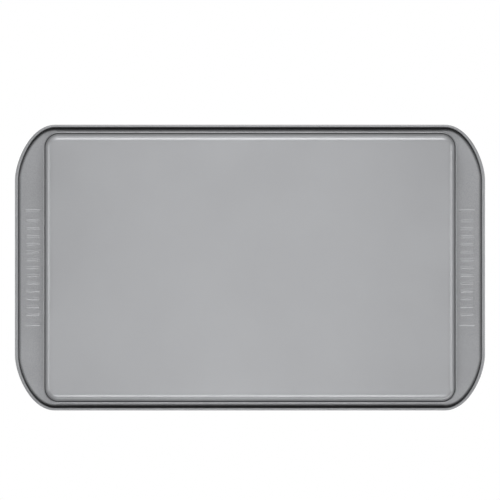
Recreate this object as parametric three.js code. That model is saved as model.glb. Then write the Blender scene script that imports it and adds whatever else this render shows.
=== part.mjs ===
// Cookie sheet: a shallow tray drawn from one steel blank, with a wide flat handle at each end.
// The edge of the blank is rolled under, all the way round, over a stiffening wire.
// Millimetres. X runs along the length, Y across and Z up; the origin is under the middle of the floor.

import * as THREE from "three";

// Sheet and tray
const SHEET = 0.6; // thickness of the steel blank
const HEIGHT = 20; // from the table to the top of the flange
const FLOOR_LENGTH = 404; // flat of the floor, between the end bends
const FLOOR_WIDTH = 258; // flat of the floor, between the side bends
const FLOOR_CORNER = 6; // plan radius of the flat's corners
const FLOOR_BEND = 4.5; // inside radius where the floor turns up into the wall
const WALL_DRAFT = 15; // degrees that the wall leans out, so that trays nest
const LIP_BEND = 1.5; // underside radius where the wall turns out into the flange

// Flange and handles
const SIDE_FLANGE = 3.1; // flat ledge between wall and bead, along the two sides
const HANDLE_DEPTH = 24.7; // the same ledge at the two ends, where it is the handle
const HANDLE_GRIP = 179; // straight length of a handle's outer edge
const SHOULDER_START = 4; // how far past the start of the tray's corner the rim begins to turn
const SHOULDER_END_PULL = 0.35; // fullness of the rim's corner towards the handle, 0 to 1
const SHOULDER_SIDE_PULL = 0.61; // fullness of the rim's corner towards the side, 0 to 1

// Rolled edge
const WIRE = 2.5; // diameter of the stiffening wire
const WIRE_CLEARANCE = 0.25; // between the wire and the sheet that is rolled round it
const EDGE_GAP = 0.3; // between the rolled-in edge and the underside of the flange
const WIRE_BUTT = 0.8; // gap between the two ends of the wire, halfway along one side

// Fineness of the curved surfaces
const CORNER_STEPS = 14;
const BEND_STEPS = 5;
const CURL_STEPS = 18;
const WIRE_SIDES = 12;

// Sizes that follow
const floorBend = FLOOR_BEND + SHEET / 2; // radii of the middle of the sheet
const lipBend = LIP_BEND + SHEET / 2;
const curlInside = WIRE / 2 + WIRE_CLEARANCE;
const curlBend = curlInside + SHEET / 2;
const curlOutside = curlInside + SHEET;
const bead = 2 * curlOutside;

const floorLevel = SHEET / 2; // levels of the middle of the sheet
const flangeLevel = HEIGHT - SHEET / 2;
const curlLevel = flangeLevel - curlBend;

const wallTurn = 90 - WALL_DRAFT;
const wallTurnRad = THREE.MathUtils.degToRad(wallTurn);
const bendRise = (floorBend + lipBend) * (1 - Math.cos(wallTurnRad));
const bendRun = (floorBend + lipBend) * Math.sin(wallTurnRad);
const wallRun = bendRun + (flangeLevel - floorLevel - bendRise) / Math.tan(wallTurnRad);

// The edge is rolled until it nearly meets the flange again.
const curlTurn = 270 + THREE.MathUtils.radToDeg(Math.asin((curlInside - EDGE_GAP) / curlOutside));

// A quarter of each outline, in plan, running from the end of the tray round to its side.
function trayCorner() {
  const x = FLOOR_LENGTH / 2 - FLOOR_CORNER;
  const y = FLOOR_WIDTH / 2 - FLOOR_CORNER;
  return new THREE.EllipseCurve(x, y, FLOOR_CORNER, FLOOR_CORNER, 0, Math.PI / 2);
}

function rimCorner() {
  const end = FLOOR_LENGTH / 2 + wallRun + HANDLE_DEPTH + bead;
  const side = FLOOR_WIDTH / 2 + wallRun + SIDE_FLANGE + bead;
  const leavesEnd = new THREE.Vector2(end, HANDLE_GRIP / 2);
  const meetsSide = new THREE.Vector2(FLOOR_LENGTH / 2 - FLOOR_CORNER + SHOULDER_START, side);
  const rise = meetsSide.y - leavesEnd.y;
  const run = leavesEnd.x - meetsSide.x;
  return new THREE.CubicBezierCurve(
    leavesEnd,
    new THREE.Vector2(end, leavesEnd.y + SHOULDER_END_PULL * rise),
    new THREE.Vector2(meetsSide.x + SHOULDER_SIDE_PULL * run, side),
    meetsSide,
  );
}

// The closed outline that lies a distance out from a corner curve and its mirror images, anticlockwise.
function ring(corner, out, z) {
  const quarter = [];
  for (let i = 0; i <= CORNER_STEPS; i++) {
    const at = corner.getPoint(i / CORNER_STEPS);
    const along = corner.getTangent(i / CORNER_STEPS);
    quarter.push(new THREE.Vector3(at.x + along.y * out, at.y - along.x * out, z));
  }
  const flip = (x, y) => quarter.map((p) => new THREE.Vector3(p.x * x, p.y * y, p.z));
  return [...quarter, ...flip(-1, 1).reverse(), ...flip(-1, -1), ...flip(1, -1).reverse()];
}

// One bend of the sheet's section, as places on the middle of the sheet with the normal of its upper face.
// The section's heading turns from one angle to another about a centre under the sheet (side 1) or over it (-1).
function bend(corner, centre, radius, side, fromTurn, toTurn, steps) {
  const places = [];
  for (let i = 0; i <= steps; i++) {
    const turn = THREE.MathUtils.degToRad(THREE.MathUtils.lerp(fromTurn, toTurn, i / steps));
    const normal = new THREE.Vector2(-Math.sin(turn), Math.cos(turn));
    places.push({ corner, normal, at: normal.clone().multiplyScalar(side * radius).add(centre) });
  }
  return places;
}

// A closed solid through a row of closed outlines, with a flat fan over the first and the last.
function loft(rings) {
  const count = rings[0].length;
  const positions = rings.flat().flatMap((p) => p.toArray());
  const faces = [];
  for (let r = 0; r + 1 < rings.length; r++) {
    for (let i = 0; i < count; i++) {
      const next = (i + 1) % count;
      const [a, b] = [r * count + i, (r + 1) * count + i];
      const [c, d] = [(r + 1) * count + next, r * count + next];
      faces.push(a, b, c, a, c, d);
    }
  }
  const fan = (points, first, turned) => {
    const middle = points.reduce((sum, p) => sum.add(p), new THREE.Vector3()).divideScalar(count);
    const hub = positions.length / 3;
    positions.push(...middle.toArray());
    for (let i = 0; i < count; i++) {
      const [a, b] = [first + i, first + ((i + 1) % count)];
      faces.push(hub, turned ? b : a, turned ? a : b);
    }
  };
  fan(rings[0], 0, false);
  fan(rings[rings.length - 1], (rings.length - 1) * count, true);
  const geometry = new THREE.BufferGeometry();
  geometry.setAttribute("position", new THREE.Float32BufferAttribute(positions, 3));
  geometry.setIndex(faces);
  geometry.computeVertexNormals();
  return geometry;
}

// The drawn sheet: floor, wall, flange and rolled edge in one thickness of steel.
function traySheet() {
  const tray = trayCorner();
  const rim = rimCorner();
  const floorCentre = new THREE.Vector2(0, floorLevel + floorBend);
  const lipCentre = new THREE.Vector2(wallRun, flangeLevel - lipBend);
  const curlCentre = new THREE.Vector2(-curlOutside, curlLevel);
  const section = [
    ...bend(tray, floorCentre, floorBend, -1, 0, wallTurn, BEND_STEPS),
    ...bend(tray, lipCentre, lipBend, 1, wallTurn, 0, BEND_STEPS),
    ...bend(rim, curlCentre, curlBend, 1, 0, -curlTurn, CURL_STEPS),
  ];
  const face = (side) =>
    section.map(({ corner, at, normal }) => {
      const p = normal.clone().multiplyScalar((side * SHEET) / 2).add(at);
      return ring(corner, p.x, p.y);
    });
  return loft([...face(1), ...face(-1).reverse()]);
}

// The wire lies in the roll, with its two ends butted halfway along one side.
function rimWire() {
  const rim = rimCorner();
  const around = [];
  for (let i = 0; i < WIRE_SIDES; i++) {
    const angle = (i / WIRE_SIDES) * 2 * Math.PI;
    const out = -curlOutside + (WIRE / 2) * Math.cos(angle);
    const path = ring(rim, out, curlLevel + (WIRE / 2) * Math.sin(angle));
    const firstQuarter = path.splice(0, CORNER_STEPS + 1);
    const start = path[0].clone().setX(-WIRE_BUTT / 2);
    const finish = path[0].clone().setX(WIRE_BUTT / 2);
    around.push([start, ...path, ...firstQuarter, finish]);
  }
  return loft(around[0].map((_, place) => around.map((path) => path[place])));
}

// Finishes
const greyCoating = new THREE.MeshStandardMaterial({ color: 0x8f9093, roughness: 0.45, metalness: 0.6 });
const bareWire = new THREE.MeshStandardMaterial({ color: 0xa6a8aa, roughness: 0.4, metalness: 1 });

const cookieSheet = new THREE.Group();
const pieces = [
  ["tray_sheet", traySheet(), greyCoating],
  ["rim_wire", rimWire(), bareWire],
];
for (const [name, geometry, material] of pieces) {
  const mesh = new THREE.Mesh(geometry, material);
  mesh.name = name;
  cookieSheet.add(mesh);
}

export default cookieSheet;
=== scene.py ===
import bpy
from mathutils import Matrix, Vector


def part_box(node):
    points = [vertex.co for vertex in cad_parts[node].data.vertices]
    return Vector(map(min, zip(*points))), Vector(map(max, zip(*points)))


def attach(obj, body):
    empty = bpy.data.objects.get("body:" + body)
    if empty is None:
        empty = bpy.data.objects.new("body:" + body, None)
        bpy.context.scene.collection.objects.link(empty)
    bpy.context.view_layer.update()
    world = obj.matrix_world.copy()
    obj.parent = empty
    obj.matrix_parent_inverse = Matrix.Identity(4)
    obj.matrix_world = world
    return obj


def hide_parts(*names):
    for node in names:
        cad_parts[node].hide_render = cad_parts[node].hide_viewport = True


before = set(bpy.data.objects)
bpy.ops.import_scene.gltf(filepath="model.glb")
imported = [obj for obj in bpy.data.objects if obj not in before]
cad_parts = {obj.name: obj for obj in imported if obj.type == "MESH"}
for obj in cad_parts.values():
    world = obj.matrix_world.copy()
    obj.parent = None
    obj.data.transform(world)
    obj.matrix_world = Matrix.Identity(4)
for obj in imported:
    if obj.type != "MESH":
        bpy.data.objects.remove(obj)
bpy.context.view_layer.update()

import math
from functools import partial

import bmesh
import bpy
from bpy.props import FloatProperty, FloatVectorProperty, IntProperty, PointerProperty
from mathutils import Vector

bl_info = {
    "name": "Cookie Sheet",
    "version": (1, 0, 0),
    "blender": (4, 5, 0),
    "location": "View3D > Sidebar > Cookie Sheet",
    "description": "Models a drawn steel baking tray with pressed handles and a rolled, wired rim",
    "category": "Add Mesh",
}

# Metres, in the frame's axes: X along the length, Y across and Z up, from under the middle of the floor.

# Measures taken from the frame
SHEET_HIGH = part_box("tray_sheet")[1]
HALF_LENGTH = SHEET_HIGH.x
HALF_WIDTH = SHEET_HIGH.y
RIM_HEIGHT = SHEET_HIGH.z


class TraySizes(bpy.types.PropertyGroup):
    """Sizes of the drawn sheet and of the wire in its edge"""

    sheet: FloatProperty(
        name="Sheet", description="Thickness of the steel",
        default=0.0006, unit="LENGTH", subtype="DISTANCE")
    floor_length: FloatProperty(
        name="Floor length", description="Flat of the floor between the end bends",
        default=0.404, unit="LENGTH", subtype="DISTANCE")
    floor_width: FloatProperty(
        name="Floor width", description="Flat of the floor between the side bends",
        default=0.258, unit="LENGTH", subtype="DISTANCE")
    floor_corner: FloatProperty(
        name="Floor corner", description="Plan radius of the flat's corners",
        default=0.006, unit="LENGTH", subtype="DISTANCE")
    floor_bend: FloatProperty(
        name="Floor bend", description="Inside radius where the floor turns up into the wall",
        default=0.0045, unit="LENGTH", subtype="DISTANCE")
    wall_draft: FloatProperty(
        name="Wall draft", description="Angle that the wall leans out",
        default=math.radians(15), unit="ROTATION", subtype="ANGLE")
    lip_bend: FloatProperty(
        name="Lip bend", description="Underside radius where the wall turns out into the flange",
        default=0.0015, unit="LENGTH", subtype="DISTANCE")
    handle_grip: FloatProperty(
        name="Handle grip", description="Straight length of a handle's outer edge",
        default=0.179, unit="LENGTH", subtype="DISTANCE")
    shoulder_start: FloatProperty(
        name="Shoulder start", description="How far past the tray's corner the rim begins to turn",
        default=0.004, unit="LENGTH", subtype="DISTANCE")
    shoulder_end_pull: FloatProperty(
        name="Shoulder end pull", description="Fullness of the rim's corner towards the handle",
        default=0.35, min=0, max=1, subtype="FACTOR")
    shoulder_side_pull: FloatProperty(
        name="Shoulder side pull", description="Fullness of the rim's corner towards the side",
        default=0.61, min=0, max=1, subtype="FACTOR")
    wire: FloatProperty(
        name="Wire", description="Diameter of the stiffening wire",
        default=0.0025, unit="LENGTH", subtype="DISTANCE")
    wire_clearance: FloatProperty(
        name="Wire clearance", description="Between the wire and the sheet rolled round it",
        default=0.00025, unit="LENGTH", subtype="DISTANCE")
    edge_gap: FloatProperty(
        name="Edge gap", description="Between the rolled-in edge and the flange",
        default=0.0003, unit="LENGTH", subtype="DISTANCE")
    wire_butt: FloatProperty(
        name="Wire butt", description="Gap between the two ends of the wire",
        default=0.0008, unit="LENGTH", subtype="DISTANCE")


class RibSizes(bpy.types.PropertyGroup):
    """Sizes of the ribs pressed into each handle"""

    count: IntProperty(
        name="Ribs", description="Short ribs on each handle", default=13, min=1)
    pitch: FloatProperty(
        name="Pitch", description="From one short rib to the next",
        default=0.008, unit="LENGTH", subtype="DISTANCE")
    length: FloatProperty(
        name="Length", description="Length of a short rib's straight crest",
        default=0.0115, unit="LENGTH", subtype="DISTANCE")
    bar_length: FloatProperty(
        name="Bar length", description="Length of the crest of the bar at each end of the row",
        default=0.0145, unit="LENGTH", subtype="DISTANCE")
    bar_spread: FloatProperty(
        name="Bar spread", description="Between the two end bars",
        default=0.117, unit="LENGTH", subtype="DISTANCE")
    half_width: FloatProperty(
        name="Half width", description="From a rib's crest to where it runs out",
        default=0.0018, unit="LENGTH", subtype="DISTANCE")
    depth: FloatProperty(
        name="Depth", description="How far a rib is pressed down",
        default=0.0005, unit="LENGTH", subtype="DISTANCE")
    middle: FloatProperty(
        name="Middle", description="From the tray's centre to the middle of the row",
        default=0.2232, unit="LENGTH", subtype="DISTANCE")


class FinishSettings(bpy.types.PropertyGroup):
    """Colours and gloss of the coating and the wire"""

    coat: FloatVectorProperty(
        name="Coat", description="Grey of the release coating",
        default=(0.396, 0.401, 0.413), subtype="COLOR", min=0, max=1)
    coat_dark: FloatVectorProperty(
        name="Coat fleck", description="Darker fleck in the coating",
        default=(0.309, 0.313, 0.324), subtype="COLOR", min=0, max=1)
    coat_roughness: FloatProperty(
        name="Coat roughness", description="Roughness of the satin coating",
        default=0.42, min=0, max=1, subtype="FACTOR")
    coat_metallic: FloatProperty(
        name="Coat metallic", description="Share of metal flake in the coating",
        default=0.4, min=0, max=1, subtype="FACTOR")
    # Painted shade: the near-black crease colour stands in for the shadow deep in the underside's creases
    # and under the lip
    crease: FloatVectorProperty(
        name="Crease", description="Baked-on dark of the underside's creases",
        default=(0.014, 0.014, 0.015), subtype="COLOR", min=0, max=1)
    # Strengths of that painted shade beside the bead and under the lip, along a handle and along a side
    crease_at_end: FloatProperty(
        name="Crease at end", description="How dark the crease beside the bead is along a handle",
        default=0.9, min=0, max=1, subtype="FACTOR")
    crease_at_side: FloatProperty(
        name="Crease at side", description="How dark the crease beside the bead is along a side",
        default=1.0, min=0, max=1, subtype="FACTOR")
    lip_at_end: FloatProperty(
        name="Lip at end", description="How dark the wall is under its lip along a handle",
        default=1.0, min=0, max=1, subtype="FACTOR")
    lip_at_side: FloatProperty(
        name="Lip at side", description="How dark the wall is under its lip along a side",
        default=0.95, min=0, max=1, subtype="FACTOR")
    wire: FloatVectorProperty(
        name="Wire", description="Bare drawn steel",
        default=(0.42, 0.42, 0.43), subtype="COLOR", min=0, max=1)


class StageSettings(bpy.types.PropertyGroup):
    """Camera, floor and backdrop"""

    camera_distance: FloatProperty(
        name="Camera distance", description="From the camera to the underside of the tray",
        default=2.0, unit="LENGTH", subtype="DISTANCE")
    photo_width: FloatProperty(
        name="Photo width", description="Width of the picture at the level of the rim",
        default=0.5135, unit="LENGTH", subtype="DISTANCE")
    photo_drop: FloatProperty(
        name="Photo drop", description="Pixels by which the tray lies below the picture's middle",
        default=17.6, subtype="PIXEL")
    floor: FloatVectorProperty(
        name="Floor", description="Pale studio floor",
        default=(0.86, 0.86, 0.86), subtype="COLOR", min=0, max=1)
    ambient: FloatProperty(
        name="Ambient", description="Strength of the even light from above",
        default=0.45, min=0)
    horizon: FloatProperty(
        name="Horizon", description="Brightness of the backdrop where it meets the floor",
        default=0.83, min=0, max=1, subtype="FACTOR")


# Names of the values that the sheet's vertices carry
ALONG = "along_corner"  # place on a corner, from 0 at an end of the tray to 1 at a side
PAINTED_SHADE = "crease"  # painted shade, from 0 for the coating's own grey to 1 for the darkest

# How finely the curved surfaces are divided
CORNER_STEPS = 24
BEND_STEPS = 10
WALL_STEPS = 8
LEDGE_STEPS = 5
CURL_STEPS = 30
WIRE_SIDES = 20
SUPPORT = 0.0006  # from a bend to the ring that keeps the sheet beside it flat
RIB_GRID = 0.0005
RIB_MARGIN = RIB_GRID / 10  # places nearer than this count as one
SMOOTH_ANGLE = math.radians(35)

# Painted shade in the crease beside the bead, standing in for its shadow, at an end and at a side
BEAD_SPREAD = (0.0011, 0.0024)  # how far it reaches across the bead
BEAD_FALL = 2.2  # steepness of its fade there
BEAD_LEAST_SHADE = (0.16, 0.18)  # the least painted shade over the whole bead, which dims its bright edge
LEDGE_SPREAD = (0.0027, 0.0033)  # how far it reaches across the flange
LEDGE_SHADE = (0.73, 0.95)  # the painted shade on the flange beside the bead

# Painted shade on the wall under its lip, standing in for the shadow in that corner, as depths under the
# flange, at an end and at a side
LIP_START = (0.0006, 0.0002)
LIP_FULL = (0.0010, 0.0007)
LIP_FADE = (0.0045, 0.0025)
LIP_END = 0.0090  # the same all round

# Slighter painted shade on the wall's drawn corners, which dims a lamp's glint there, and on the flange at
# an end and at a side, which stands in for the handles' shade
CORNER_SHADE = 0.35
FLANGE_SHADE = (0.055, 0)

# How far down the surface has to look for the painted shade to be full, from 0 to 1
FULL_DOWN = 0.2

# Patterns of the finishes: noise scales per metre, and spreads of their change from dark to light
PATTERN_START = (2.6, 3.6, 3.1)
NOISE_DETAIL = 3
NOISE_MIDDLE = 0.5
FLECK_SCALE = 2600
FLECK_SPREAD = 0.10
MOTTLE_SCALE = 12
MOTTLE_SPREAD = 0.15
MOTTLE_DARK = 0.945
GLOSS_SPREAD = 0.20
GLOSS_RANGE = 0.06
CREASE_ROUGHNESS = 0.95
PEEL_SCALE = 900
PEEL_STRENGTH = 0.06
PEEL_HEIGHT = 0.0002
SCUFF_SCALE = 700
SCUFF_SPREAD = 0.15
SCUFF_DARK = 0.7
WIRE_ROUGHNESS = 0.4

# The picture, the floor and the backdrop
PHOTO_PIXELS = 500
FLOOR_SIZE = 12
FLOOR_GAP = 0.0004  # between the floor and the tray that stands on it
LEVEL = 0.001  # how far up a ray has to point to count as going up
BACKDROP_TOP = 0.5  # how far up a ray points where the backdrop turns white

# The light over the tray, and the strips under it as degrees of lean to one side and watts
KEY_DIRECTION = (-0.7, -0.6, 1.0)
KEY_STRENGTH = 2.2
KEY_SPREAD = math.radians(60)
STRIP_DISTANCE = 0.8
STRIP_WIDTH = 0.21
SIDE_STRIP_LENGTH = 0.8
SIDE_STRIPS = ((50, 3.6), (70, 2.3), (-44, 3.1), (-56, 1.5))
END_STRIP_LENGTH = 0.5
END_STRIPS = ((11, 0.69), (55, 1.0), (82, 1.06))


def sizes():
    """The tray's sizes, as they are set in the scene."""
    return bpy.context.scene.tray_sizes


def curl_inside():
    """Inside radius of the rolled edge."""
    return sizes().wire / 2 + sizes().wire_clearance


def curl_outside():
    """Outside radius of the rolled edge."""
    return curl_inside() + sizes().sheet


def bead_width():
    """Width of the rolled edge, in plan."""
    return 2 * curl_outside()


def flange_level():
    """Height of the middle of the sheet in the flange."""
    return RIM_HEIGHT - sizes().sheet / 2


def wall_run():
    """Plan distance from the edge of the flat floor to the start of the flange."""
    tray = sizes()
    bends = tray.floor_bend + tray.lip_bend + tray.sheet
    rise = RIM_HEIGHT - tray.sheet - bends * (1 - math.sin(tray.wall_draft))
    return bends * math.cos(tray.wall_draft) + rise * math.tan(tray.wall_draft)


def corner_centre():
    """Centre of the floor's corner in the first quarter, in plan."""
    tray = sizes()
    return Vector((tray.floor_length / 2 - tray.floor_corner, tray.floor_width / 2 - tray.floor_corner))


def corner_outward(along):
    """Outward direction of the tray's outline, in plan, from the end (0) round to the side (1)."""
    angle = along * math.pi / 2
    return Vector((math.cos(angle), math.sin(angle)))


def tray_place(along, out):
    """Point of the first quarter of the tray's outline, a distance out from the edge of the flat floor."""
    return corner_centre() + corner_outward(along) * (sizes().floor_corner + out)


def rim_place(along, out):
    """Point of the first quarter of the rim's outline, a distance out from its outermost line.

    The outermost line is a cubic Bezier curve from the handle to the side.
    """
    tray = sizes()
    start = Vector((HALF_LENGTH, tray.handle_grip / 2))
    finish = Vector((corner_centre().x + tray.shoulder_start, HALF_WIDTH))
    pull_end = start + Vector((0, tray.shoulder_end_pull * (finish.y - start.y)))
    pull_side = finish + Vector((tray.shoulder_side_pull * (start.x - finish.x), 0))
    back = 1 - along
    place = (start * back ** 3 + pull_end * 3 * back ** 2 * along
             + pull_side * 3 * back * along ** 2 + finish * along ** 3)
    heading = ((pull_end - start) * back ** 2 + (pull_side - pull_end) * 2 * back * along
               + (finish - pull_side) * along ** 2).normalized()
    return place + Vector((heading.y, -heading.x)) * out


def flange_place(along, share):
    """Point of the flange, a share of the way from the wall to the top of the bead."""
    return tray_place(along, wall_run()).lerp(rim_place(along, -curl_outside()), share)


def bend(centre_out, centre_z, radius, first, last, steps):
    """Places round one bend of the section. A negative radius has its centre over the sheet."""
    turns = [first + (last - first) * i / steps for i in range(steps + 1)]
    return [(centre_out - radius * math.sin(turn), centre_z + radius * math.cos(turn)) for turn in turns]


def flange_stations(rib_low, rib_high):
    """Shares of the way across the flange at which a handle has a ring, close at the ribs and the crease."""
    low = sizes().floor_length / 2 + wall_run()
    high = HALF_LENGTH - curl_outside()
    rings = round((rib_high - rib_low) / RIB_GRID)
    ribbed = [rib_low + (rib_high - rib_low) * i / rings for i in range(rings + 1)]
    crease = HALF_LENGTH - bead_width()
    ledge = [crease - LEDGE_SPREAD[0] * (1 - i / LEDGE_STEPS) for i in range(LEDGE_STEPS + 1)]
    stations = [low + SUPPORT, *ribbed, *ledge, high - SUPPORT]
    return [(x - low) / (high - low) for x in stations]


def section_rings(rib_low, rib_high):
    """The sheet's middle surface as rings: each is a function of the place along a corner, and a height."""
    tray = sizes()
    half = tray.sheet / 2
    floor_bend = tray.floor_bend + half
    lip_bend = tray.lip_bend + half
    curl_bend = curl_inside() + half
    level = flange_level()
    wall_turn = math.pi / 2 - tray.wall_draft
    # The edge is rolled until it nearly meets the flange again.
    curl_turn = math.radians(270) + math.asin((curl_inside() - tray.edge_gap) / curl_outside())

    floor_places = bend(0, half + floor_bend, -floor_bend, 0, wall_turn, BEND_STEPS)
    lip_places = bend(wall_run(), level - lip_bend, lip_bend, wall_turn, 0, BEND_STEPS)
    wall_foot = Vector(floor_places[-1])
    wall_head = Vector(lip_places[0])
    wall_places = [tuple(wall_foot.lerp(wall_head, i / WALL_STEPS)) for i in range(1, WALL_STEPS)]
    curl_places = bend(-curl_outside(), level - curl_bend, curl_bend, 0, -curl_turn, CURL_STEPS)

    tray_rings = [(partial(tray_place, out=out), z) for out, z in floor_places + wall_places + lip_places]
    shares = flange_stations(rib_low, rib_high)
    flange_rings = [(partial(flange_place, share=share), level) for share in shares]
    rim_rings = [(partial(rim_place, out=out), z) for out, z in curl_places]
    return tray_rings + flange_rings + rim_rings


def rib_reach():
    """Nearest and farthest distance along the tray that the pressed ribs reach, with a margin."""
    ribs = bpy.context.scene.tray_ribs
    reach = ribs.bar_length / 2 + ribs.half_width + RIB_GRID
    return ribs.middle - reach, ribs.middle + reach


def rib_drop(x, y):
    """How far the handle is pressed down at a place, by the nearest rib."""
    ribs = bpy.context.scene.tray_ribs
    first = -ribs.pitch * (ribs.count - 1) / 2
    crests = [(first + ribs.pitch * i, ribs.length) for i in range(ribs.count)]
    crests += [(side * ribs.bar_spread / 2, ribs.bar_length) for side in (-1, 1)]
    crest_y, length = min(crests, key=lambda crest: abs(y - crest[0]))
    past_end = max(abs(abs(x) - ribs.middle) - length / 2, 0)
    distance = math.hypot(past_end, y - crest_y)
    if distance >= ribs.half_width:
        return 0
    return ribs.depth * (1 + math.cos(math.pi * distance / ribs.half_width)) / 2


def select_only(mesh, chosen):
    """Selects the given edges or faces of an edit mesh and nothing else."""
    bpy.ops.mesh.select_all(action="DESELECT")
    for element in chosen:
        element.select_set(True)
    mesh.select_flush_mode()


def leave_edit_mode():
    """Makes the faces of the edit mesh agree on their outer side, and goes back to object mode."""
    bpy.ops.mesh.select_all(action="SELECT")
    bpy.ops.mesh.normals_make_consistent(inside=False)
    bpy.ops.object.mode_set(mode="OBJECT")


def finish_object(piece, name, material, node):
    """Names a finished piece, gives it its finish, and sets it in the frame in place of a CAD node."""
    piece.name = name
    piece.data.name = name
    piece.data.materials.clear()
    piece.data.materials.append(material)
    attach(piece, "root")
    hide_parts(node)


def start_floor():
    """A plane with rounded corners, a little inside the flat floor, in edit mode."""
    tray = sizes()
    bpy.ops.object.select_all(action="DESELECT")
    bpy.ops.mesh.primitive_plane_add(size=1, location=(0, 0, tray.sheet / 2), enter_editmode=True)
    bpy.ops.transform.resize(value=(tray.floor_length - 2 * SUPPORT, tray.floor_width - 2 * SUPPORT, 1))
    bpy.ops.mesh.select_mode(type="VERT")
    bpy.ops.mesh.select_all(action="SELECT")
    bpy.ops.mesh.bevel(
        offset=tray.floor_corner - SUPPORT, offset_type="OFFSET", segments=CORNER_STEPS, affect="VERTICES")
    bpy.ops.object.mode_set(mode="OBJECT")
    bpy.ops.object.transform_apply(location=True, rotation=True, scale=True)
    bpy.ops.object.mode_set(mode="EDIT")
    return bpy.context.object


def mark_corners(piece):
    """Writes on each vertex of the floor how far along its corner it lies, from the end to the side."""
    mesh = bmesh.from_edit_mesh(piece.data)
    layer = mesh.verts.layers.float.new(ALONG)
    centre = corner_centre()
    for vertex in mesh.verts:
        angle = math.atan2(abs(vertex.co.y) - centre.y, abs(vertex.co.x) - centre.x)
        vertex[layer] = angle / (math.pi / 2)
    bmesh.update_edit_mesh(piece.data)


def select_open_edges(piece):
    """Selects the edges round the open side of the sheet."""
    bpy.ops.mesh.select_mode(type="EDGE")
    mesh = bmesh.from_edit_mesh(piece.data)
    select_only(mesh, [edge for edge in mesh.edges if edge.is_boundary])


def draw_ring(piece, place, height):
    """Extrudes the selected edges, but no face, and moves the new edges to their place."""
    bpy.ops.mesh.extrude_edges_move()
    mesh = bmesh.from_edit_mesh(piece.data)
    layer = mesh.verts.layers.float[ALONG]
    for vertex in mesh.verts:
        if vertex.select:
            at = place(vertex[layer])
            vertex.co = (math.copysign(at.x, vertex.co.x), math.copysign(at.y, vertex.co.y), height)
    bmesh.update_edit_mesh(piece.data)


def press_ribs(piece, rib_low, rib_high):
    """Divides the middle of each handle finely and presses the row of ribs into it."""
    ribs = bpy.context.scene.tray_ribs
    row_end = ribs.bar_spread / 2 + ribs.half_width + RIB_GRID
    level = flange_level()

    def on_handle(vertex):
        """Whether a vertex lies on the ribbed part of a handle, level with the flange."""
        in_reach = rib_low - RIB_MARGIN < abs(vertex.co.x) < rib_high + RIB_MARGIN
        return in_reach and abs(vertex.co.z - level) < RIB_MARGIN

    def spans_row(edge):
        """Whether an edge runs from one end of the row of ribs to the other."""
        first, last = edge.verts
        at_ends = all(on_handle(v) and abs(abs(v.co.y) - row_end) < RIB_MARGIN for v in edge.verts)
        return at_ends and first.co.y * last.co.y < 0

    bpy.ops.mesh.select_mode(type="FACE")
    for cut in (-row_end, row_end):
        mesh = bmesh.from_edit_mesh(piece.data)
        select_only(mesh, [face for face in mesh.faces if all(on_handle(v) for v in face.verts)])
        bpy.ops.mesh.bisect(plane_co=(0, cut, 0), plane_no=(0, 1, 0))
    bpy.ops.mesh.select_mode(type="EDGE")
    mesh = bmesh.from_edit_mesh(piece.data)
    select_only(mesh, [edge for edge in mesh.edges if spans_row(edge)])
    bpy.ops.mesh.subdivide_edgering(number_cuts=round(2 * row_end / RIB_GRID) - 1, interpolation="LINEAR")
    mesh = bmesh.from_edit_mesh(piece.data)
    for vertex in mesh.verts:
        if on_handle(vertex) and abs(vertex.co.y) < row_end:
            vertex.co.z -= rib_drop(vertex.co.x, vertex.co.y)
    bmesh.update_edit_mesh(piece.data)


def thicken(piece):
    """Gives the sheet its thickness, half on each side of its middle surface."""
    thickness = piece.modifiers.new("thickness", "SOLIDIFY")
    thickness.thickness = sizes().sheet
    thickness.offset = 0
    thickness.use_even_offset = True
    bpy.ops.object.modifier_apply(modifier=thickness.name)


def between(pair, along):
    """Value of an end and a side pair, at a place along the corner between them."""
    return pair[0] + (pair[1] - pair[0]) * along


def clamp(value):
    """The value, kept between 0 and 1."""
    return min(max(value, 0), 1)


def bead_shade(along, spot):
    """Painted shade on the bead and the flange beside it, at a spot in plan."""
    finish = bpy.context.scene.tray_finish
    strength = between((finish.crease_at_end, finish.crease_at_side), along)
    outward = rim_place(along, 1) - rim_place(along, 0)
    inward = (rim_place(along, -bead_width()) - spot).dot(outward)
    if inward < 0:
        fade = clamp(BEAD_FALL * (1 + inward / between(BEAD_SPREAD, along)))
        return max(strength * fade, between(BEAD_LEAST_SHADE, along))
    fade = clamp(between(LEDGE_SHADE, along) * (1 - inward / between(LEDGE_SPREAD, along)))
    return strength * fade


def wall_shade(along, height):
    """Painted shade on the outside of the wall at a height, under the lip and in a drawn corner."""
    finish = bpy.context.scene.tray_finish
    under = RIM_HEIGHT - sizes().sheet - height
    start = between(LIP_START, along)
    lip = clamp((under - start) / (between(LIP_FULL, along) - start))
    lip *= clamp((LIP_END - under) / (LIP_END - between(LIP_FADE, along)))
    lip *= between((finish.lip_at_end, finish.lip_at_side), along)
    corner = CORNER_SHADE * math.sin(math.pi * along) * clamp(height / sizes().floor_bend)
    return max(lip, corner)


def crease_shade(along, place):
    """Painted shade at a place on the underside."""
    spot = Vector((abs(place.x), abs(place.y)))
    out = (spot - tray_place(along, 0)).dot(corner_outward(along))
    if out < wall_run():
        shade = wall_shade(along, place.z)
    else:
        shade = between(FLANGE_SHADE, along)
    return max(shade, bead_shade(along, spot))


def shade_creases(piece):
    """Writes the painted shade on the vertices where the surface looks down."""
    mesh = piece.data
    alongs = mesh.attributes[ALONG].data
    shades = mesh.attributes.new(PAINTED_SHADE, "FLOAT", "POINT").data
    for vertex in mesh.vertices:
        looks_down = clamp(-vertex.normal.z / FULL_DOWN)
        if looks_down > 0:
            along = clamp(alongs[vertex.index].value)
            shades[vertex.index].value = looks_down * crease_shade(along, vertex.co)


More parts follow.
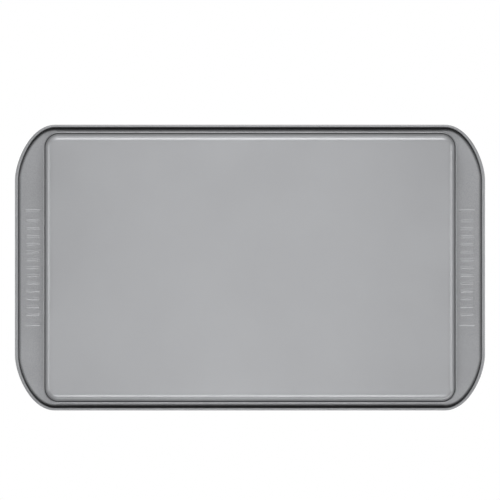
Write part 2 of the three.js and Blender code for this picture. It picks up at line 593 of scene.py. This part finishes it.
def wire_path():
    """The wire's middle line, from one of its butted ends all the way round to the other."""
    half_butt = sizes().wire_butt / 2
    quarter = [rim_place(i / CORNER_STEPS, -curl_outside()) for i in range(CORNER_STEPS + 1)]
    back = quarter[::-1]
    side = quarter[-1].y
    path = [Vector((-half_butt, side))]
    path += [Vector((-p.x, p.y)) for p in back]
    path += [Vector((-p.x, -p.y)) for p in quarter]
    path += [Vector((p.x, -p.y)) for p in back]
    path += quarter
    path += [Vector((half_butt, side))]
    return [Vector((p.x, p.y, RIM_HEIGHT - curl_outside())) for p in path]


def start_wire(place):
    """The wire's round end face at a place, square to the tray's length and selected in edit mode."""
    bpy.ops.object.select_all(action="DESELECT")
    bpy.ops.mesh.primitive_circle_add(
        vertices=WIRE_SIDES, radius=sizes().wire / 2, fill_type="NGON",
        location=place, rotation=(0, math.pi / 2, 0))
    bpy.ops.object.transform_apply(location=True, rotation=True, scale=True)
    bpy.ops.object.mode_set(mode="EDIT")
    bpy.ops.mesh.select_all(action="SELECT")
    return bpy.context.object


def sweep(piece, path):
    """Extrudes the selected face along a level path, and turns it with the path."""
    section = [vertex.co - path[0] for vertex in bmesh.from_edit_mesh(piece.data).verts]
    for i in range(1, len(path)):
        before = path[i] - path[i - 1]
        after = path[i + 1] - path[i] if i + 1 < len(path) else before
        heading = (before.normalized() + after.normalized()).normalized()
        outward = Vector((heading.y, -heading.x, 0))
        bpy.ops.mesh.extrude_region_move()
        mesh = bmesh.from_edit_mesh(piece.data)
        ring = [vertex for vertex in mesh.verts if vertex.select]
        for vertex, offset in zip(ring, section):
            vertex.co = path[i] + outward * offset.y + Vector((0, 0, offset.z))
        bmesh.update_edit_mesh(piece.data)


def new_material(name):
    """A node material with its shader and nothing else."""
    material = bpy.data.materials.new(name)
    material.use_nodes = True
    nodes = material.node_tree.nodes
    nodes.clear()
    output = nodes.new("ShaderNodeOutputMaterial")
    shader = nodes.new("ShaderNodeBsdfPrincipled")
    material.node_tree.links.new(shader.outputs["BSDF"], output.inputs["Surface"])
    return material, shader


def noise(material, scale):
    """A noise on object coordinates, with a scale per metre."""
    nodes = material.node_tree.nodes
    links = material.node_tree.links
    coordinates = nodes.new("ShaderNodeTexCoord")
    start = nodes.new("ShaderNodeMapping")
    start.inputs["Location"].default_value = PATTERN_START
    texture = nodes.new("ShaderNodeTexNoise")
    texture.inputs["Scale"].default_value = scale
    texture.inputs["Detail"].default_value = NOISE_DETAIL
    links.new(coordinates.outputs["Object"], start.inputs["Vector"])
    links.new(start.outputs["Vector"], texture.inputs["Vector"])
    return texture.outputs["Fac"]


def speckle(material, scale, spread, low, high):
    """Colours or greys between two limits, by a noise. A small spread makes the change a sharp one."""
    node = material.node_tree.nodes.new("ShaderNodeValToRGB")
    first, last = node.color_ramp.elements
    first.position = NOISE_MIDDLE - spread
    first.color = low
    last.position = NOISE_MIDDLE + spread
    last.color = high
    material.node_tree.links.new(noise(material, scale), node.inputs["Fac"])
    return node.outputs["Color"]


def mix(material, kind, share, first, second):
    """Mixes or multiplies two colours. The share and the colours are values or outputs of nodes."""
    node = material.node_tree.nodes.new("ShaderNodeMixRGB")
    node.blend_type = kind
    for socket, value in zip(node.inputs, (share, first, second)):
        if isinstance(value, bpy.types.NodeSocket):
            material.node_tree.links.new(value, socket)
        else:
            socket.default_value = value
    return node.outputs["Color"]


def grey(value):
    """An opaque grey, or a value that is carried as one."""
    return (value, value, value, 1)


def coating_material():
    """Satin grey release coating: fine fleck, slow mottling, a faint orange peel, and painted shade in the
    creases, which are made dull there too.
    """
    finish = bpy.context.scene.tray_finish
    material, shader = new_material("grey_coating")
    nodes = material.node_tree.nodes
    links = material.node_tree.links
    # The painted shade written on the vertices darkens the coat toward the crease colour and dulls it
    attribute = nodes.new("ShaderNodeAttribute")
    attribute.attribute_name = PAINTED_SHADE
    shade_mask = attribute.outputs["Fac"]

    fleck = speckle(material, FLECK_SCALE, FLECK_SPREAD, (*finish.coat_dark, 1), (*finish.coat, 1))
    mottle = speckle(material, MOTTLE_SCALE, MOTTLE_SPREAD, grey(MOTTLE_DARK), grey(1))
    coat = mix(material, "MULTIPLY", 1, fleck, mottle)
    links.new(mix(material, "MIX", shade_mask, coat, (*finish.crease, 1)), shader.inputs["Base Color"])
    shader.inputs["Metallic"].default_value = finish.coat_metallic

    smooth = grey(finish.coat_roughness - GLOSS_RANGE)
    rough = grey(finish.coat_roughness + GLOSS_RANGE)
    gloss = speckle(material, MOTTLE_SCALE, GLOSS_SPREAD, smooth, rough)
    links.new(mix(material, "MIX", shade_mask, gloss, grey(CREASE_ROUGHNESS)), shader.inputs["Roughness"])

    peel = nodes.new("ShaderNodeBump")
    peel.inputs["Strength"].default_value = PEEL_STRENGTH
    peel.inputs["Distance"].default_value = PEEL_HEIGHT
    links.new(noise(material, PEEL_SCALE), peel.inputs["Height"])
    links.new(peel.outputs["Normal"], shader.inputs["Normal"])
    return material


def wire_material():
    """Bare drawn steel with fine scuffs."""
    finish = bpy.context.scene.tray_finish
    material, shader = new_material("bare_wire")
    scuffed = tuple(SCUFF_DARK * channel for channel in finish.wire)
    colour = speckle(material, SCUFF_SCALE, SCUFF_SPREAD, (*scuffed, 1), (*finish.wire, 1))
    material.node_tree.links.new(colour, shader.inputs["Base Color"])
    shader.inputs["Metallic"].default_value = 1
    shader.inputs["Roughness"].default_value = WIRE_ROUGHNESS
    return material


class TRAY_OT_drawn_sheet(bpy.types.Operator):
    """Draw the sheet outwards from its floor, press the handles' ribs and give it its thickness"""

    bl_idname = "tray.drawn_sheet"
    bl_label = "Drawn Sheet"

    def execute(self, context):
        rib_low, rib_high = rib_reach()
        piece = start_floor()
        mark_corners(piece)
        select_open_edges(piece)
        for place, height in section_rings(rib_low, rib_high):
            draw_ring(piece, place, height)
        press_ribs(piece, rib_low, rib_high)
        leave_edit_mode()
        thicken(piece)
        bpy.ops.object.shade_smooth_by_angle(angle=SMOOTH_ANGLE)
        shade_creases(piece)
        finish_object(piece, "drawn_sheet", coating_material(), "tray_sheet")
        return {"FINISHED"}


class TRAY_OT_edge_wire(bpy.types.Operator):
    """Lay the stiffening wire in the rolled edge, with its ends butted halfway along one side"""

    bl_idname = "tray.edge_wire"
    bl_label = "Edge Wire"

    def execute(self, context):
        path = wire_path()
        piece = start_wire(path[0])
        sweep(piece, path)
        leave_edit_mode()
        bpy.ops.object.shade_smooth_by_angle(angle=SMOOTH_ANGLE)
        finish_object(piece, "edge_wire", wire_material(), "rim_wire")
        return {"FINISHED"}


def add_lamp(kind, name, place, power):
    """Adds a lamp that faces the tray's middle."""
    bpy.ops.object.light_add(type=kind, location=place)
    lamp = bpy.context.object
    lamp.name = name
    lamp.data.energy = power
    lamp.rotation_euler = (-place).to_track_quat("-Z", "Y").to_euler()
    return lamp.data


def key_lamp():
    """Broad soft light from far away, so that the pale floor is lit evenly."""
    light = add_lamp("SUN", "key_above", Vector(KEY_DIRECTION), KEY_STRENGTH)
    light.angle = KEY_SPREAD


def strip_lamps(name, outward, length, strips):
    """Soft strip lamps under the tray. Each leans out from straight down and faces the tray's middle."""
    for lean, power in strips:
        angle = math.radians(lean)
        place = STRIP_DISTANCE * (outward * math.sin(angle) + Vector((0, 0, -math.cos(angle))))
        light = add_lamp("AREA", f"{name}_{lean}", place, power)
        light.shape = "RECTANGLE"
        light.size = length
        light.size_y = STRIP_WIDTH


def floor_material():
    """A pale floor that shows its upper face only, so that the tray can be seen from below."""
    stage = bpy.context.scene.tray_stage
    material, shader = new_material("pale_floor")
    nodes = material.node_tree.nodes
    links = material.node_tree.links
    shader.inputs["Base Color"].default_value = (*stage.floor, 1)
    shader.inputs["Specular IOR Level"].default_value = 0
    clear = nodes.new("ShaderNodeBsdfTransparent")
    face = nodes.new("ShaderNodeNewGeometry")
    one_sided = nodes.new("ShaderNodeMixShader")
    links.new(face.outputs["Backfacing"], one_sided.inputs["Fac"])
    links.new(shader.outputs["BSDF"], one_sided.inputs[1])
    links.new(clear.outputs["BSDF"], one_sided.inputs[2])
    links.new(one_sided.outputs["Shader"], nodes["Material Output"].inputs["Surface"])
    return material


def studio_floor():
    """The floor under the tray. It casts no shadow, and sends no light back to the tray."""
    bpy.ops.mesh.primitive_plane_add(size=FLOOR_SIZE, location=(0, 0, -FLOOR_GAP))
    floor = bpy.context.object
    floor.name = "studio_floor"
    floor.data.materials.append(floor_material())
    floor.visible_shadow = False
    floor.visible_diffuse = False
    floor.visible_glossy = False


def studio_world():
    """A backdrop that brightens from the floor's tone to white, and even light from above for all else."""
    stage = bpy.context.scene.tray_stage
    world = bpy.data.worlds.new("studio")
    bpy.context.scene.world = world
    world.use_nodes = True
    nodes = world.node_tree.nodes
    links = world.node_tree.links
    nodes.clear()
    coordinates = nodes.new("ShaderNodeTexCoord")
    direction = nodes.new("ShaderNodeSeparateXYZ")
    links.new(coordinates.outputs["Generated"], direction.inputs[0])

    def combine(operation, first, second):
        """One value worked out from two."""
        node = nodes.new("ShaderNodeMath")
        node.operation = operation
        links.new(first, node.inputs[0])
        links.new(second, node.inputs[1])
        return node.outputs[0]

    def by_height(top, low, high):
        """A value that changes with how steeply a ray goes up, from level to the given height."""
        node = nodes.new("ShaderNodeMapRange")
        node.inputs["From Max"].default_value = top
        node.inputs["To Min"].default_value = low
        node.inputs["To Max"].default_value = high
        links.new(direction.outputs["Z"], node.inputs["Value"])
        return node.outputs["Result"]

    def background(strength):
        """White light of a strength."""
        node = nodes.new("ShaderNodeBackground")
        node.inputs["Color"].default_value = grey(1)
        links.new(strength, node.inputs["Strength"])
        return node.outputs["Background"]

    above = by_height(LEVEL, 0, 1)
    ray = nodes.new("ShaderNodeLightPath")
    mirrored = combine("MAXIMUM", ray.outputs["Is Glossy Ray"], ray.outputs["Is Transmission Ray"])
    seen = combine("MAXIMUM", ray.outputs["Is Camera Ray"], combine("MULTIPLY", mirrored, above))
    choice = nodes.new("ShaderNodeMixShader")
    links.new(seen, choice.inputs["Fac"])
    links.new(background(by_height(LEVEL, 0, stage.ambient)), choice.inputs[1])
    links.new(background(by_height(BACKDROP_TOP, stage.horizon, 1)), choice.inputs[2])
    output = nodes.new("ShaderNodeOutputWorld")
    links.new(choice.outputs["Shader"], output.inputs["Surface"])


def photo_camera():
    """A camera that looks straight up at the tray's underside, framed like the photograph."""
    scene = bpy.context.scene
    stage = scene.tray_stage
    camera_data = bpy.data.cameras.new("photo_camera")
    camera = bpy.data.objects.new("photo_camera", camera_data)
    scene.collection.objects.link(camera)
    camera.location = (0, 0, -stage.camera_distance)
    camera.rotation_euler = (math.pi, 0, math.pi)
    rim_distance = stage.camera_distance + RIM_HEIGHT
    camera_data.lens = camera_data.sensor_width * rim_distance / stage.photo_width
    camera_data.shift_y = stage.photo_drop / PHOTO_PIXELS
    scene.camera = camera


class TRAY_OT_stage(bpy.types.Operator):
    """Set up the pale floor, the soft lamps and the camera under the tray"""

    bl_idname = "tray.stage"
    bl_label = "Stage"

    def execute(self, context):
        bpy.ops.object.select_all(action="DESELECT")
        studio_floor()
        studio_world()
        key_lamp()
        strip_lamps("side_strip", Vector((0, 1, 0)), SIDE_STRIP_LENGTH, SIDE_STRIPS)
        strip_lamps("right_strip", Vector((1, 0, 0)), END_STRIP_LENGTH, END_STRIPS)
        strip_lamps("left_strip", Vector((-1, 0, 0)), END_STRIP_LENGTH, END_STRIPS)
        photo_camera()
        context.scene.view_settings.view_transform = "Standard"
        return {"FINISHED"}


class TRAY_PT_sidebar(bpy.types.Panel):
    """Lists the tray's pieces and its stage, with all their settings"""

    bl_label = "Cookie Sheet"
    bl_idname = "TRAY_PT_sidebar"
    bl_space_type = "VIEW_3D"
    bl_region_type = "UI"
    bl_category = "Cookie Sheet"

    def draw(self, context):
        layout = self.layout
        for operator in OPERATORS:
            layout.operator(operator.bl_idname)
        for group in GROUPS:
            settings = getattr(context.scene, group)
            layout.separator()
            for name in settings.__annotations__:
                layout.prop(settings, name)


GROUPS = {
    "tray_sizes": TraySizes,
    "tray_ribs": RibSizes,
    "tray_finish": FinishSettings,
    "tray_stage": StageSettings,
}
OPERATORS = (TRAY_OT_drawn_sheet, TRAY_OT_edge_wire, TRAY_OT_stage)
CLASSES = (*GROUPS.values(), *OPERATORS, TRAY_PT_sidebar)


def register():
    for cls in CLASSES:
        bpy.utils.register_class(cls)
    for name, cls in GROUPS.items():
        setattr(bpy.types.Scene, name, PointerProperty(type=cls))


def unregister():
    for name in GROUPS:
        delattr(bpy.types.Scene, name)
    for cls in reversed(CLASSES):
        bpy.utils.unregister_class(cls)


def main():
    register()
    bpy.ops.tray.drawn_sheet()
    bpy.ops.tray.edge_wire()
    bpy.ops.tray.stage()


if __name__ == "__main__":
    main()
